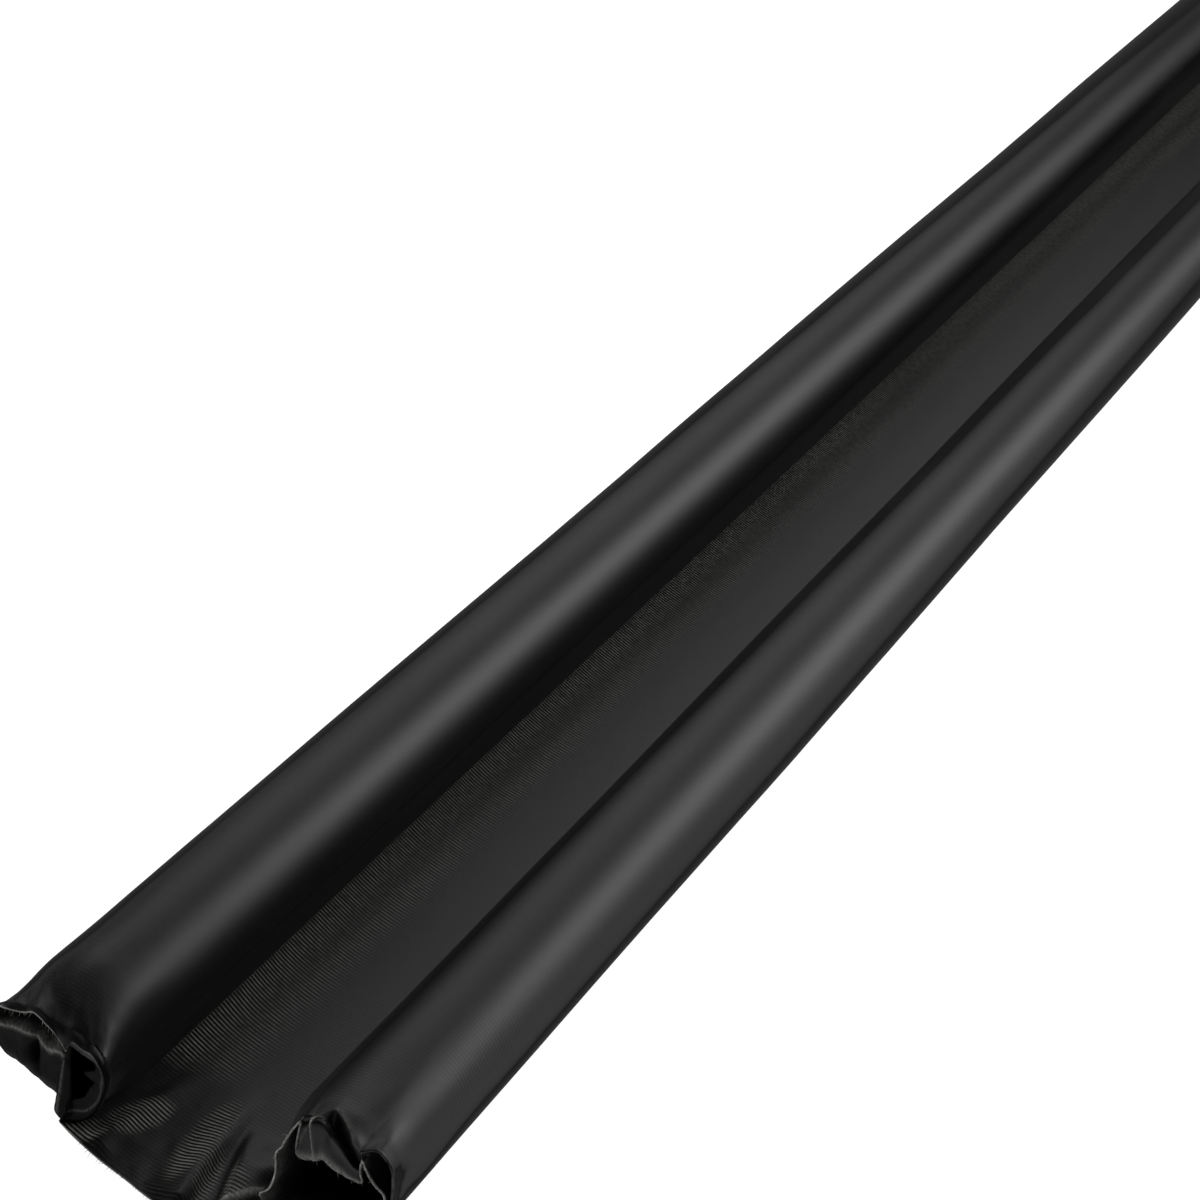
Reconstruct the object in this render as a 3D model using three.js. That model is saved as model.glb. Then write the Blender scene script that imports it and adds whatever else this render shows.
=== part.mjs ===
// Draught excluder: one length of black ribbed cloth sewn into two round filled tubes, joined by a
// flat web that lies on the floor. Past the filling the tubes end in open, crumpled cuffs.
//
// Millimetres. X runs along the sleeve, its crumpled end at -X. Y runs across, Z is up. The floor is
// z = 0 and the origin is on it, under the middle of the web.
import * as THREE from "three";

// Driving dimensions of the sleeve
const LENGTH = 950;
const TUBE_RADIUS = 15.4;
const TUBE_ACROSS = 37;
const SEAM_ACROSS = 24.6;
const CLOTH = 1.2;

// How far the longest cloth runs past the filling at each end
const CRUMPLED_TIP = 32;
const PLAIN_TIP = 25;

// How fine the mesh is: steps around a tube, across the web and along a cuff
const TUBE_STEPS = 44;
const WEB_STEPS = 16;
const CUFF_SHARES = [0.22, 0.42, 0.6, 0.76, 0.9, 1];
const TAIL_SHARES = [0.5, 1];
const PLAIN_CUFF_SHARES = [0.4, 0.75, 1];
const PLAIN_TAIL_SHARES = [1];
// A cuff keeps the tube's round form at first and takes its rim's form late
const CUFF_FLARE_POWER = 2.1;
// The filling's end bulges a little towards the mouth
const FILLING_BULGE = 2;

const table = (columns, rows) => rows.map((row) => {
  const names = columns.split(" ");
  return Object.fromEntries(names.map((name, k) => [name, row[k]]));
});

// Slight swelling and slack of the filled tubes along their length
const SWELL = table("x left right", [
  [-424, 0.0, 0.0],
  [-330, 0.2, -0.1],
  [-210, -0.2, 0.2],
  [-90, 0.1, -0.2],
  [30, 0.3, 0.2],
  [150, -0.2, 0.1],
  [270, 0.1, -0.2],
  [370, -0.1, 0.2],
]);

// Rims of the cuffs, from the web's seam up the inner side, over the top and back under. The first
// three columns are the bend where the cloth leaves the tube's line, the last three its raw edge.
// reach is how far a place lies past the filling, across is measured from the middle of the slot.
const RIM_COLUMNS = "reach across up edgeReach edgeAcross edgeUp";
// The left one gapes at the inner side, and its underside is pushed up in front of a flat slit
const CRUMPLED_LEFT = table(RIM_COLUMNS, [
  [21.0, 29.6, 0.6, 22.5, 30.4, 0.6],
  [20.5, 27.9, 2.6, 21.8, 28.4, 3.2],
  [19.5, 25.0, 6.0, 21.0, 25.0, 6.3],
  [19.5, 21.6, 10.8, 21.0, 21.6, 10.8],
  [19.5, 20.1, 16.0, 21.0, 20.1, 16.0],
  [19.5, 21.6, 21.2, 21.0, 21.4, 21.4],
  [19.5, 27.0, 24.2, 21.0, 26.8, 23.4],
  [20.0, 33.0, 26.0, 21.0, 32.4, 24.9],
  [19.5, 38.8, 27.6, 21.0, 38.8, 27.3],
  [19.5, 45.0, 26.2, 21.0, 45.0, 25.4],
  [19.5, 50.2, 23.6, 21.0, 49.4, 25.2],
  [19.5, 52.2, 18.0, 21.0, 52.4, 21.6],
  [19.2, 49.2, 12.8, 21.0, 49.4, 17.8],
  [19.2, 43.6, 10.8, 21.0, 42.2, 20.4],
  [19.2, 39.4, 9.0, 21.0, 38.0, 20.4],
  [19.0, 36.8, 8.2, 21.0, 34.7, 18.6],
  [19.0, 34.8, 7.8, 21.0, 30.9, 19.6],
  [19.2, 34.0, 7.2, 21.0, 29.3, 17.5],
  [19.5, 33.4, 5.4, 21.0, 30.2, 10.0],
  [20.0, 32.6, 2.6, 21.5, 31.4, 4.2],
  [21.0, 29.6, 0.6, 22.5, 30.4, 0.6],
]);
// The right one is turned in along its top, and rolls outward beside that
const CRUMPLED_RIGHT = table(RIM_COLUMNS, [
  [14.5, 23.4, 0.6, 16.0, 22.6, 0.6],
  [17.5, 22.6, 6.0, 19.5, 22.3, 6.0],
  [18.0, 25.2, 13.0, 20.0, 25.6, 13.3],
  [17.5, 25.9, 20.0, 20.0, 25.7, 20.0],
  [17.0, 28.0, 26.0, 19.0, 28.6, 25.8],
  [17.5, 30.2, 29.2, 18.0, 29.6, 23.0],
  [18.0, 32.8, 30.3, 16.5, 31.0, 19.0],
  [17.5, 35.2, 30.4, 16.0, 33.4, 19.8],
  [16.5, 38.0, 30.2, 16.0, 36.6, 20.6],
  [16.0, 41.0, 29.4, 16.0, 40.2, 20.2],
  [16.5, 44.0, 28.0, 16.5, 43.4, 20.0],
  [18.0, 47.4, 28.6, 18.0, 46.4, 21.6],
  [18.5, 51.4, 26.8, 19.0, 49.6, 21.0],
  [18.5, 53.6, 22.4, 19.5, 52.4, 18.0],
  [18.2, 53.2, 15.5, 19.8, 53.2, 13.5],
  [18.2, 50.6, 8.0, 19.8, 50.6, 7.0],
  [18.3, 45.0, 2.4, 20.0, 44.6, 2.0],
  [18.5, 38.0, 0.6, 20.0, 38.0, 0.6],
  [17.5, 30.5, 0.6, 19.0, 30.5, 0.6],
  [14.5, 23.4, 0.6, 16.0, 22.6, 0.6],
]);
// The plain ones are slack and a little flattened
const PLAIN_RIM = table(RIM_COLUMNS, [
  [21.0, 24.6, 0.6, 22.5, 24.6, 0.6],
  [20.5, 22.6, 6.5, 22.0, 22.4, 6.5],
  [20.0, 21.4, 13.0, 21.5, 21.0, 13.0],
  [19.5, 23.6, 20.5, 21.0, 23.4, 20.6],
  [19.0, 29.0, 26.5, 20.5, 29.0, 26.4],
  [19.0, 36.0, 28.2, 20.5, 36.0, 28.0],
  [19.5, 44.0, 27.2, 21.0, 44.2, 27.0],
  [20.5, 50.6, 21.8, 22.0, 51.0, 21.6],
  [21.0, 52.8, 13.5, 22.5, 53.0, 13.2],
  [21.0, 50.0, 5.5, 22.5, 50.0, 5.2],
  [20.5, 43.5, 1.0, 22.0, 43.5, 0.9],
  [21.0, 33.5, 0.6, 22.5, 33.5, 0.6],
  [21.0, 24.6, 0.6, 22.5, 24.6, 0.6],
]);
// The right plain cuff sags a little lower than the left one
const PLAIN_SAG = { left: 1, right: 0.93 };

// Raw front edges of the web between the seams, by place across (left is positive)
const CRUMPLED_WEB_EDGE = table("across reach", [
  [25, 25.1],
  [20, 26.3],
  [16, 27.5],
  [8.6, 29.1],
  [0, 31.2],
  [-5, 32.0],
  [-9.5, 29.8],
  [-13.6, 24.0],
  [-18.4, 17.8],
]);
const PLAIN_WEB_EDGE = table("across reach", [
  [16, 23.6],
  [6, 24.6],
  [-4, 25.0],
  [-14, 23.8],
]);

// Folds that stand up in the web at the crumpled end. Each runs from back to tip, leaning across.
const WEB_FOLDS = table("acrossBack acrossTip height halfWidth", [
  [17, 25, 1.6, 3.4],
  [-1, 3, 2.6, 3.6],
  [-9, -13.5, 3.4, 3.6],
]);
// The folds rise from the flat web over this stretch, measured past the filling's end
const FOLD_START = -18;
const FOLD_FULL = 20;

// Sizes worked out from the driving dimensions
const HALF_CLOTH = CLOTH / 2;
const WALL_RADIUS = TUBE_RADIUS - HALF_CLOTH;
const SEAM_GAP = TUBE_ACROSS - SEAM_ACROSS;
const SEAM_LEAN = Math.atan2(SEAM_GAP, WALL_RADIUS);
const ARC_ANGLE = 2 * Math.PI - 2 * SEAM_LEAN;
const ARC_START = 1.5 * Math.PI - 2 * SEAM_LEAN;
const GIRTH = 2 * SEAM_GAP + WALL_RADIUS * ARC_ANGLE;
const CRUMPLED_END = -(LENGTH / 2 - CRUMPLED_TIP);
const PLAIN_END = LENGTH / 2 - PLAIN_TIP;

const mix = (a, b, share) => a + (b - a) * share;

// Middle of the cloth in the round section, at a share of the way round from the seam: up the inner
// side to the round, over the top, and back along the floor to the seam
function roundSection(turn) {
  const along = turn * GIRTH;
  const arc = WALL_RADIUS * ARC_ANGLE;
  if (along < SEAM_GAP) {
    const share = along / SEAM_GAP;
    const acrossTop = TUBE_ACROSS + WALL_RADIUS * Math.cos(ARC_START);
    const upTop = TUBE_RADIUS + WALL_RADIUS * Math.sin(ARC_START);
    return { across: mix(SEAM_ACROSS, acrossTop, share), up: mix(HALF_CLOTH, upTop, share) };
  }
  if (along < SEAM_GAP + arc) {
    const angle = ARC_START - (along - SEAM_GAP) / WALL_RADIUS;
    return {
      across: TUBE_ACROSS + WALL_RADIUS * Math.cos(angle),
      up: TUBE_RADIUS + WALL_RADIUS * Math.sin(angle),
    };
  }
  return { across: TUBE_ACROSS - (along - SEAM_GAP - arc), up: HALF_CLOTH };
}

// Smooth curves through a rim's bend and raw edge, both read at a share of the raw edge's length
function rimReader(rows, sag = 1) {
  const sagged = (up) => HALF_CLOTH + (up - HALF_CLOTH) * sag;
  const bendPoints = rows.map((r) => new THREE.Vector3(r.reach, r.across, sagged(r.up)));
  const edgePoints = rows.map((r) => new THREE.Vector3(r.edgeReach, r.edgeAcross, sagged(r.edgeUp)));
  const bend = new THREE.CatmullRomCurve3(bendPoints, false, "centripetal");
  const edge = new THREE.CatmullRomCurve3(edgePoints, false, "centripetal");
  return (turn) => {
    const t = edge.getUtoTmapping(turn);
    const pair = { bend: bend.getPoint(t), edge: edge.getPoint(t) };
    for (const place of Object.values(pair)) place.z = Math.max(place.z, HALF_CLOTH);
    return pair;
  };
}

// Interpolates a table's value column by its key column, rows in falling or rising order of key
function readTable(rows, key, value, at) {
  const rising = rows[0][key] < rows[rows.length - 1][key];
  const sorted = rising ? rows : [...rows].reverse();
  if (at <= sorted[0][key]) return sorted[0][value];
  for (let k = 1; k < sorted.length; k += 1) {
    if (at <= sorted[k][key]) {
      const share = (at - sorted[k - 1][key]) / (sorted[k][key] - sorted[k - 1][key]);
      const smooth = share * share * (3 - 2 * share);
      return mix(sorted[k - 1][value], sorted[k][value], smooth);
    }
  }
  return sorted[sorted.length - 1][value];
}

const SIDES = {
  left: { sign: 1, crumpled: rimReader(CRUMPLED_LEFT), plain: rimReader(PLAIN_RIM, PLAIN_SAG.left) },
  right: { sign: -1, crumpled: rimReader(CRUMPLED_RIGHT), plain: rimReader(PLAIN_RIM, PLAIN_SAG.right) },
};
const ENDS = {
  crumpled: { x: CRUMPLED_END, way: -1, edge: CRUMPLED_WEB_EDGE },
  plain: { x: PLAIN_END, way: 1, edge: PLAIN_WEB_EDGE },
};

// Stations from the crumpled raw edge to the plain one. share runs 0 to 1 along a cuff, and 1 to 2
// along the strip at its raw edge.
function stations() {
  const cuff = (shares, tails) => [...shares, ...tails.map((share) => 1 + share)];
  const crumpled = cuff(CUFF_SHARES, TAIL_SHARES).reverse();
  const plain = cuff(PLAIN_CUFF_SHARES, PLAIN_TAIL_SHARES);
  return [
    ...crumpled.map((share) => ({ end: "crumpled", share })),
    { x: CRUMPLED_END, end: "crumpled", share: 0 },
    ...SWELL.map((row) => ({ x: row.x, swell: row })),
    { x: PLAIN_END, end: "plain", share: 0 },
    ...plain.map((share) => ({ end: "plain", share })),
  ];
}

// Middle of a tube's cloth at a station and a share of the way round
function tubePoint(sideName, station, turn) {
  const side = SIDES[sideName];
  const round = roundSection(turn);
  if (!station.end || station.share === 0) {
    const swell = station.swell ? station.swell[sideName] : 0;
    const outward = Math.sin(Math.PI * turn) * swell;
    const lean = Math.atan2(round.up - TUBE_RADIUS, round.across - TUBE_ACROSS);
    const across = round.across + outward * Math.cos(lean);
    const up = Math.max(round.up + outward * Math.sin(lean), HALF_CLOTH);
    return new THREE.Vector3(station.x, side.sign * across, up);
  }
  const end = ENDS[station.end];
  const { bend, edge } = side[station.end](turn);
  const along = Math.min(station.share, 1);
  const form = along ** CUFF_FLARE_POWER;
  const across = mix(round.across, bend.y, form);
  const place = new THREE.Vector3(bend.x * along, across, mix(round.up, bend.z, form));
  if (station.share > 1) place.lerp(edge, station.share - 1);
  return new THREE.Vector3(end.x + end.way * place.x, side.sign * place.y, place.z);
}

// Height of the web's folds above the flat
function foldHeight(x, y) {
  const past = CRUMPLED_END - x;
  const share = THREE.MathUtils.smoothstep(past, FOLD_START, FOLD_FULL);
  const nearSeam = 1 - THREE.MathUtils.smoothstep(Math.abs(y), SEAM_ACROSS - 5, SEAM_ACROSS);
  const total = WEB_FOLDS.reduce((sum, fold) => {
    const middle = mix(fold.acrossBack, fold.acrossTip, (past - FOLD_START) / (CRUMPLED_TIP - FOLD_START));
    return sum + fold.height * Math.exp(-(((y - middle) / fold.halfWidth) ** 2));
  }, 0);
  return total * share * nearSeam;
}

// Middle of the web's cloth at a station, from the left seam to the right one
function webPoint(station, share, leftSeam, rightSeam) {
  const y = mix(leftSeam.y, rightSeam.y, share);
  if (!station.end || station.share === 0) {
    return new THREE.Vector3(station.x, y, HALF_CLOTH + foldHeight(station.x, y));
  }
  const end = ENDS[station.end];
  const reachOf = (seam) => (seam.x - end.x) * end.way;
  const fullReach = (sideName) => SIDES[sideName][station.end](0).edge.x;
  const gone = mix(reachOf(leftSeam) / fullReach("left"), reachOf(rightSeam) / fullReach("right"), share);
  const edge = [
    { across: leftSeam.y, reach: fullReach("left") },
    ...end.edge,
    { across: rightSeam.y, reach: fullReach("right") },
  ];
  const x = end.x + end.way * gone * readTable(edge, "across", "reach", y);
  return new THREE.Vector3(x, y, HALF_CLOTH + foldHeight(x, y));
}

// A closed solid built up from shared vertices and faces
class Solid {
  constructor() {
    this.places = [];
    this.faces = [];
  }

  add(place) {
    this.places.push(place);
    return this.places.length - 1;
  }

  quad(a, b, c, d) {
    this.faces.push([a, b, c], [a, c, d]);
  }

  // Joins two rows of vertices of the same length; a closed row joins its last vertex to its first
  band(rowA, rowB, closed) {
    const steps = closed ? rowA.length : rowA.length - 1;
    for (let k = 0; k < steps; k += 1) {
      const next = (k + 1) % rowA.length;
      this.quad(rowA[k], rowA[next], rowB[next], rowB[k]);
    }
  }

  volume() {
    const at = (k) => this.places[k];
    const part = ([a, b, c]) => at(a).dot(new THREE.Vector3().crossVectors(at(b), at(c)));
    return this.faces.reduce((sum, face) => sum + part(face), 0) / 6;
  }

  geometry() {
    const outward = this.volume() > 0;
    const order = this.faces.flatMap(([a, b, c]) => (outward ? [a, b, c] : [a, c, b]));
    const geometry = new THREE.BufferGeometry();
    const flat = this.places.flatMap((place) => [place.x, place.y, place.z]);
    geometry.setAttribute("position", new THREE.Float32BufferAttribute(flat, 3));
    geometry.setIndex(order);
    geometry.computeVertexNormals();
    return geometry;
  }
}

// Outward directions of the cloth over a tube's grid of places, one row for each station
function clothNormals(grid, sign) {
  const last = grid.length - 1;
  return grid.map((row, j) => row.map((_, i) => {
    const along = grid[Math.min(j + 1, last)][i].clone().sub(grid[Math.max(j - 1, 0)][i]);
    const before = row[Math.max(i - 1, 0)];
    const after = row[Math.min(i + 1, row.length - 1)];
    const round = after.clone().sub(before);
    return along.cross(round).normalize().multiplyScalar(sign);
  }));
}

// Faces of the cloth of one tube: the outer side over its whole length, and the inner side of each
// cuff. The seam's two outer points stand on the web's top and underside.
function tubeFaces(sideName, list, solid) {
  const { sign } = SIDES[sideName];
  const grid = list.map((station) => {
    const turns = Array.from({ length: TUBE_STEPS + 1 }, (_, i) => i / TUBE_STEPS);
    return turns.map((turn) => tubePoint(sideName, station, turn));
  });
  const normals = clothNormals(grid, sign);
  const outer = grid.map((row, j) => row.map((place, i) => {
    const shift = normals[j][i].clone();
    if (i === 0) shift.set(0, 0, 1);
    if (i === TUBE_STEPS) shift.set(0, 0, -1);
    const moved = place.clone().addScaledVector(shift, HALF_CLOTH);
    moved.z = Math.max(moved.z, 0);
    return solid.add(moved);
  }));
  const inner = grid.map((row, j) => {
    if (!list[j].end) return null;
    return row.slice(0, -1).map((place, i) => {
      const shift = normals[j][i].clone().negate();
      if (i === 0) {
        shift.set(0, sign * SEAM_GAP, WALL_RADIUS).normalize().multiplyScalar(2);
      }
      return solid.add(place.clone().addScaledVector(shift, HALF_CLOTH));
    });
  });
  return { grid, outer, inner };
}

// The hollow of a cuff: its inner side, the turn of cloth at the raw edge, and the filling's end
function cuffFaces(tube, list, endName, sideName, solid) {
  const { sign } = SIDES[sideName];
  const rows = list.map((_, j) => j).filter((j) => list[j].end === endName);
  const towardsEdge = list[rows[0]].share === 0 ? rows : rows.reverse();
  const turn = sign * ENDS[endName].way;
  const band = (rowA, rowB, closed) => {
    if (turn > 0) solid.band(rowA, rowB, closed);
    else solid.band([...rowA].reverse(), [...rowB].reverse(), closed);
  };
  for (let k = 1; k < towardsEdge.length; k += 1) {
    band(tube.inner[towardsEdge[k - 1]], tube.inner[towardsEdge[k]], true);
  }
  const edge = towardsEdge[towardsEdge.length - 1];
  const innerEdge = tube.inner[edge];
  band([...innerEdge, innerEdge[0]], tube.outer[edge], false);
  const seamFace = [tube.outer[edge][TUBE_STEPS], tube.outer[edge][0], innerEdge[0]];
  solid.faces.push(turn > 0 ? seamFace.reverse() : seamFace);
  const base = tube.inner[towardsEdge[0]];
  const middle = new THREE.Vector3(
    ENDS[endName].x + ENDS[endName].way * FILLING_BULGE,
    sign * TUBE_ACROSS,
    TUBE_RADIUS,
  );
  const hub = solid.add(middle);
  for (let k = 0; k < base.length; k += 1) {
    const pair = [base[k], base[(k + 1) % base.length]];
    if (turn > 0) pair.reverse();
    solid.faces.push([hub, ...pair]);
  }
}

function sleeveGeometry() {
  const solid = new Solid();
  const list = stations();
  const left = tubeFaces("left", list, solid);
  const right = tubeFaces("right", list, solid);
  const webSides = list.map((station, j) => {
    const shares = Array.from({ length: WEB_STEPS - 1 }, (_, k) => (k + 1) / WEB_STEPS);
    const middle = shares.map((share) => webPoint(station, share, left.grid[j][0], right.grid[j][0]));
    const lift = (up) => middle.map((place) => {
      return solid.add(new THREE.Vector3(place.x, place.y, Math.max(place.z + up, 0)));
    });
    return { top: lift(HALF_CLOTH), under: lift(-HALF_CLOTH) };
  });

  // One ring of vertices round the whole section at each station
  const rings = list.map((_, j) => [
    ...left.outer[j],
    ...webSides[j].under,
    ...[...right.outer[j]].reverse(),
    ...[...webSides[j].top].reverse(),
  ]);
  for (let j = 1; j < rings.length; j += 1) solid.band(rings[j], rings[j - 1], true);

  // Raw ends of the web
  for (const j of [0, list.length - 1]) {
    const top = [left.outer[j][0], ...webSides[j].top, right.outer[j][0]];
    const under = [left.outer[j][TUBE_STEPS], ...webSides[j].under, right.outer[j][TUBE_STEPS]];
    if (j === 0) solid.band(under, top, false);
    else solid.band(top, under, false);
  }
  for (const [tube, sideName] of [[left, "left"], [right, "right"]]) {
    for (const endName of Object.keys(ENDS)) cuffFaces(tube, list, endName, sideName, solid);
  }
  return solid.geometry();
}

const cloth = new THREE.MeshStandardMaterial({ color: 0x1c1c1c, roughness: 0.62, metalness: 0 });
const sleeve = new THREE.Mesh(sleeveGeometry(), cloth);
sleeve.name = "sleeve";

const draughtExcluder = new THREE.Group();
draughtExcluder.name = "draught_excluder";
draughtExcluder.add(sleeve);

export default draughtExcluder;
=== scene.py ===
import math

import bpy
import numpy as np
from mathutils import Matrix, Vector


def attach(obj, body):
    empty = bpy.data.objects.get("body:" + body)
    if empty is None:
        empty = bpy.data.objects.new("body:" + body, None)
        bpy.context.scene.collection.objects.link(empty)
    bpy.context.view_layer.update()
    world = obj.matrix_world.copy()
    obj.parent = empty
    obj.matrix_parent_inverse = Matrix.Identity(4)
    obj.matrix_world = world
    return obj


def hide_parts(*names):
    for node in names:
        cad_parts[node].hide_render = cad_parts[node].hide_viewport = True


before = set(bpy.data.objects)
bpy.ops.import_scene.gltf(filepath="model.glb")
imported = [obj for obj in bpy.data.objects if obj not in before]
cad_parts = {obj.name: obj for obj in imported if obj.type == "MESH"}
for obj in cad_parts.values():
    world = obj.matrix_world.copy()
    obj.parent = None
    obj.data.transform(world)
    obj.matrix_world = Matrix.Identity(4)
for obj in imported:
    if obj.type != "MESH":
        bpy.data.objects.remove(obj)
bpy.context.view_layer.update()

MM = 0.001

# Driving dimensions of the sleeve
LENGTH = 950.0
TUBE_RADIUS = 15.4
TUBE_ACROSS = 37.0
SEAM_ACROSS = 24.6
CLOTH = 1.2
EDGE_CLOTH = 0.42
CRUMPLED_TIP = 32.0
PLAIN_TIP = 25.0
CUFF_FLARE_POWER = 2.1
RIB_PITCH = 1.07
RIB_HEIGHT = 0.16
THREAD_PITCH = 0.45

# How fine the mesh is: steps round a tube, across the web, and along each cuff to its bend and from
# there to its raw edge
TUBE_STEPS = 168
WEB_STEPS = 60
CUFF_STEPS = {"crumpled": (24, 24), "plain": (10, 3)}
# Share of the steps round a tube that are laid out by the raw edge's length, which is much crumpled
EDGE_SHARE = 0.6
# Rows of the filled stretch: fine ones by the crumpled end, coarse ones, and a few by the plain end
FINE_STEP = 1.5
FINE_REACH = 75.0
COARSE_ROWS = 48
LAST_STEP = 3.0

HALF_CLOTH = CLOTH / 2
WALL_RADIUS = TUBE_RADIUS - HALF_CLOTH
SEAM_GAP = TUBE_ACROSS - SEAM_ACROSS
SEAM_LEAN = math.atan2(SEAM_GAP, WALL_RADIUS)
ARC_ANGLE = 2 * math.pi - 2 * SEAM_LEAN
ARC_START = 1.5 * math.pi - 2 * SEAM_LEAN
GIRTH = 2 * SEAM_GAP + WALL_RADIUS * ARC_ANGLE
CRUMPLED_END = -(LENGTH / 2 - CRUMPLED_TIP)
PLAIN_END = LENGTH / 2 - PLAIN_TIP

# Rims of the cuffs, from the web's seam up the inner side, over the top and back under. Each place is
# reach past the filling, across from the middle of the slot, and up. A row starts with the bend where
# the cloth leaves the tube's line and ends with its raw edge; a row of four also has a tuck and a crest
# between them.
CRUMPLED_LEFT = (
    ((19.6, 31.0, 0.6), (22.6, 30.7, 0.6)),
    # The mouth's edge is turned up at the bottom and turned in beside that
    ((19.5, 30.7, 0.6), (21.9, 30.5, 0.8), (21.3, 30.3, 2.8), (20.7, 29.6, 5.4)),
    ((19.2, 29.6, 0.8), (21.6, 29.7, 0.9), (21.0, 29.9, 3.0), (20.6, 29.2, 6.2)),
    ((19.0, 28.0, 1.2), (21.4, 27.9, 1.6), (21.0, 27.6, 4.6), (20.5, 27.4, 7.8)),
    ((18.9, 26.2, 1.8), (21.0, 25.8, 2.6), (21.0, 25.3, 5.5), (20.5, 25.7, 9.0)),
    ((18.8, 24.0, 4.2), (20.6, 23.4, 5.0), (21.0, 23.0, 7.8), (20.5, 24.6, 11.2)),
    ((18.8, 21.8, 8.6), (20.2, 21.3, 9.2), (21.0, 21.1, 11.2), (20.5, 23.6, 13.4)),
    ((18.9, 20.4, 13.0), (20.2, 20.1, 13.2), (21.0, 20.4, 14.3), (20.4, 23.1, 15.0)),
    # A little tuft stands into the mouth
    ((19.0, 20.1, 15.2), (20.3, 19.9, 15.4), (20.9, 20.2, 16.2), (20.2, 25.8, 16.2)),
    ((19.0, 20.0, 17.6), (20.3, 20.0, 17.8), (20.9, 20.2, 18.2), (20.3, 22.9, 18.2)),
    ((19.0, 21.2, 20.6), (20.2, 21.0, 20.9), (20.9, 21.1, 20.5), (20.4, 22.6, 19.9)),
    ((18.2, 24.0, 22.2), (19.2, 23.8, 22.3), (20.1, 23.7, 22.0), (20.3, 24.0, 20.9)),
    ((17.9, 27.4, 23.9), (18.6, 27.3, 22.8), (19.4, 27.2, 21.9), (19.7, 27.7, 20.9)),
    ((18.1, 30.2, 25.0), (18.7, 30.0, 24.0), (19.5, 29.8, 22.9), (19.9, 30.2, 21.6)),
    # The top's edge tucks down to the corner of the slit
    ((18.8, 31.4, 25.6), (19.8, 30.8, 24.2), (20.8, 30.4, 22.2), (21.3, 30.0, 20.8)),
    ((19.3, 32.3, 25.9), (20.2, 31.8, 24.9), (20.9, 31.4, 23.6), (21.3, 31.2, 22.4)),
    ((19.6, 33.8, 26.2), (21.2, 33.2, 24.4)),
    ((19.6, 36.4, 27.0), (21.1, 36.1, 26.1)),
    ((19.5, 39.2, 27.9), (21.0, 39.3, 27.5)),
    ((19.5, 42.0, 27.0), (21.0, 41.8, 26.3)),
    ((19.5, 45.6, 26.2), (21.0, 45.4, 25.3)),
    ((19.5, 50.2, 23.6), (21.0, 49.2, 24.9)),
    ((19.5, 52.0, 17.0), (21.0, 52.4, 21.6)),
    # The underside is pushed up, and its edge is turned in as a shelf below the slit
    ((19.2, 49.4, 11.0), (20.2, 49.4, 15.4), (21.0, 49.0, 19.6), (16.6, 48.8, 21.4)),
    ((19.2, 45.4, 9.4), (20.2, 45.0, 15.0), (21.0, 44.4, 20.7), (15.6, 44.6, 22.4)),
    # A crease runs down it
    ((19.2, 42.0, 8.1), (20.3, 41.6, 14.6), (21.0, 40.6, 20.9), (15.6, 41.0, 22.6)),
    ((19.0, 40.2, 7.2), (16.2, 39.7, 13.6), (20.2, 38.9, 20.5), (15.4, 39.4, 22.4)),
    ((19.2, 38.6, 6.8), (20.3, 37.8, 13.6), (21.0, 36.9, 20.0), (15.6, 37.6, 22.0)),
    ((19.1, 36.8, 5.9), (20.3, 35.8, 12.4), (21.1, 34.7, 18.9), (16.0, 35.4, 21.4)),
    ((19.0, 35.2, 5.3), (20.3, 33.6, 12.8), (21.2, 31.4, 20.0), (17.6, 31.6, 21.0)),
    # Beside the mouth its edge is turned in
    ((19.1, 34.3, 5.0), (20.0, 32.9, 10.6), (21.0, 31.1, 16.6), (20.6, 29.3, 17.2)),
    ((19.3, 33.8, 4.6), (20.2, 32.9, 7.8), (21.0, 31.7, 11.6), (20.6, 29.2, 12.2)),
    ((19.6, 33.5, 3.4), (20.4, 33.1, 4.8), (21.2, 32.3, 7.0), (20.7, 29.0, 8.0)),
    ((20.0, 33.3, 1.4), (20.8, 33.1, 1.9), (21.8, 32.2, 3.0), (21.7, 29.2, 5.6)),
    ((19.8, 31.8, 0.8), (21.2, 31.6, 1.2), (22.3, 31.1, 2.2), (22.2, 29.2, 4.4)),
    ((19.6, 31.0, 0.6), (22.6, 30.7, 0.6)),
)
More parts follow.
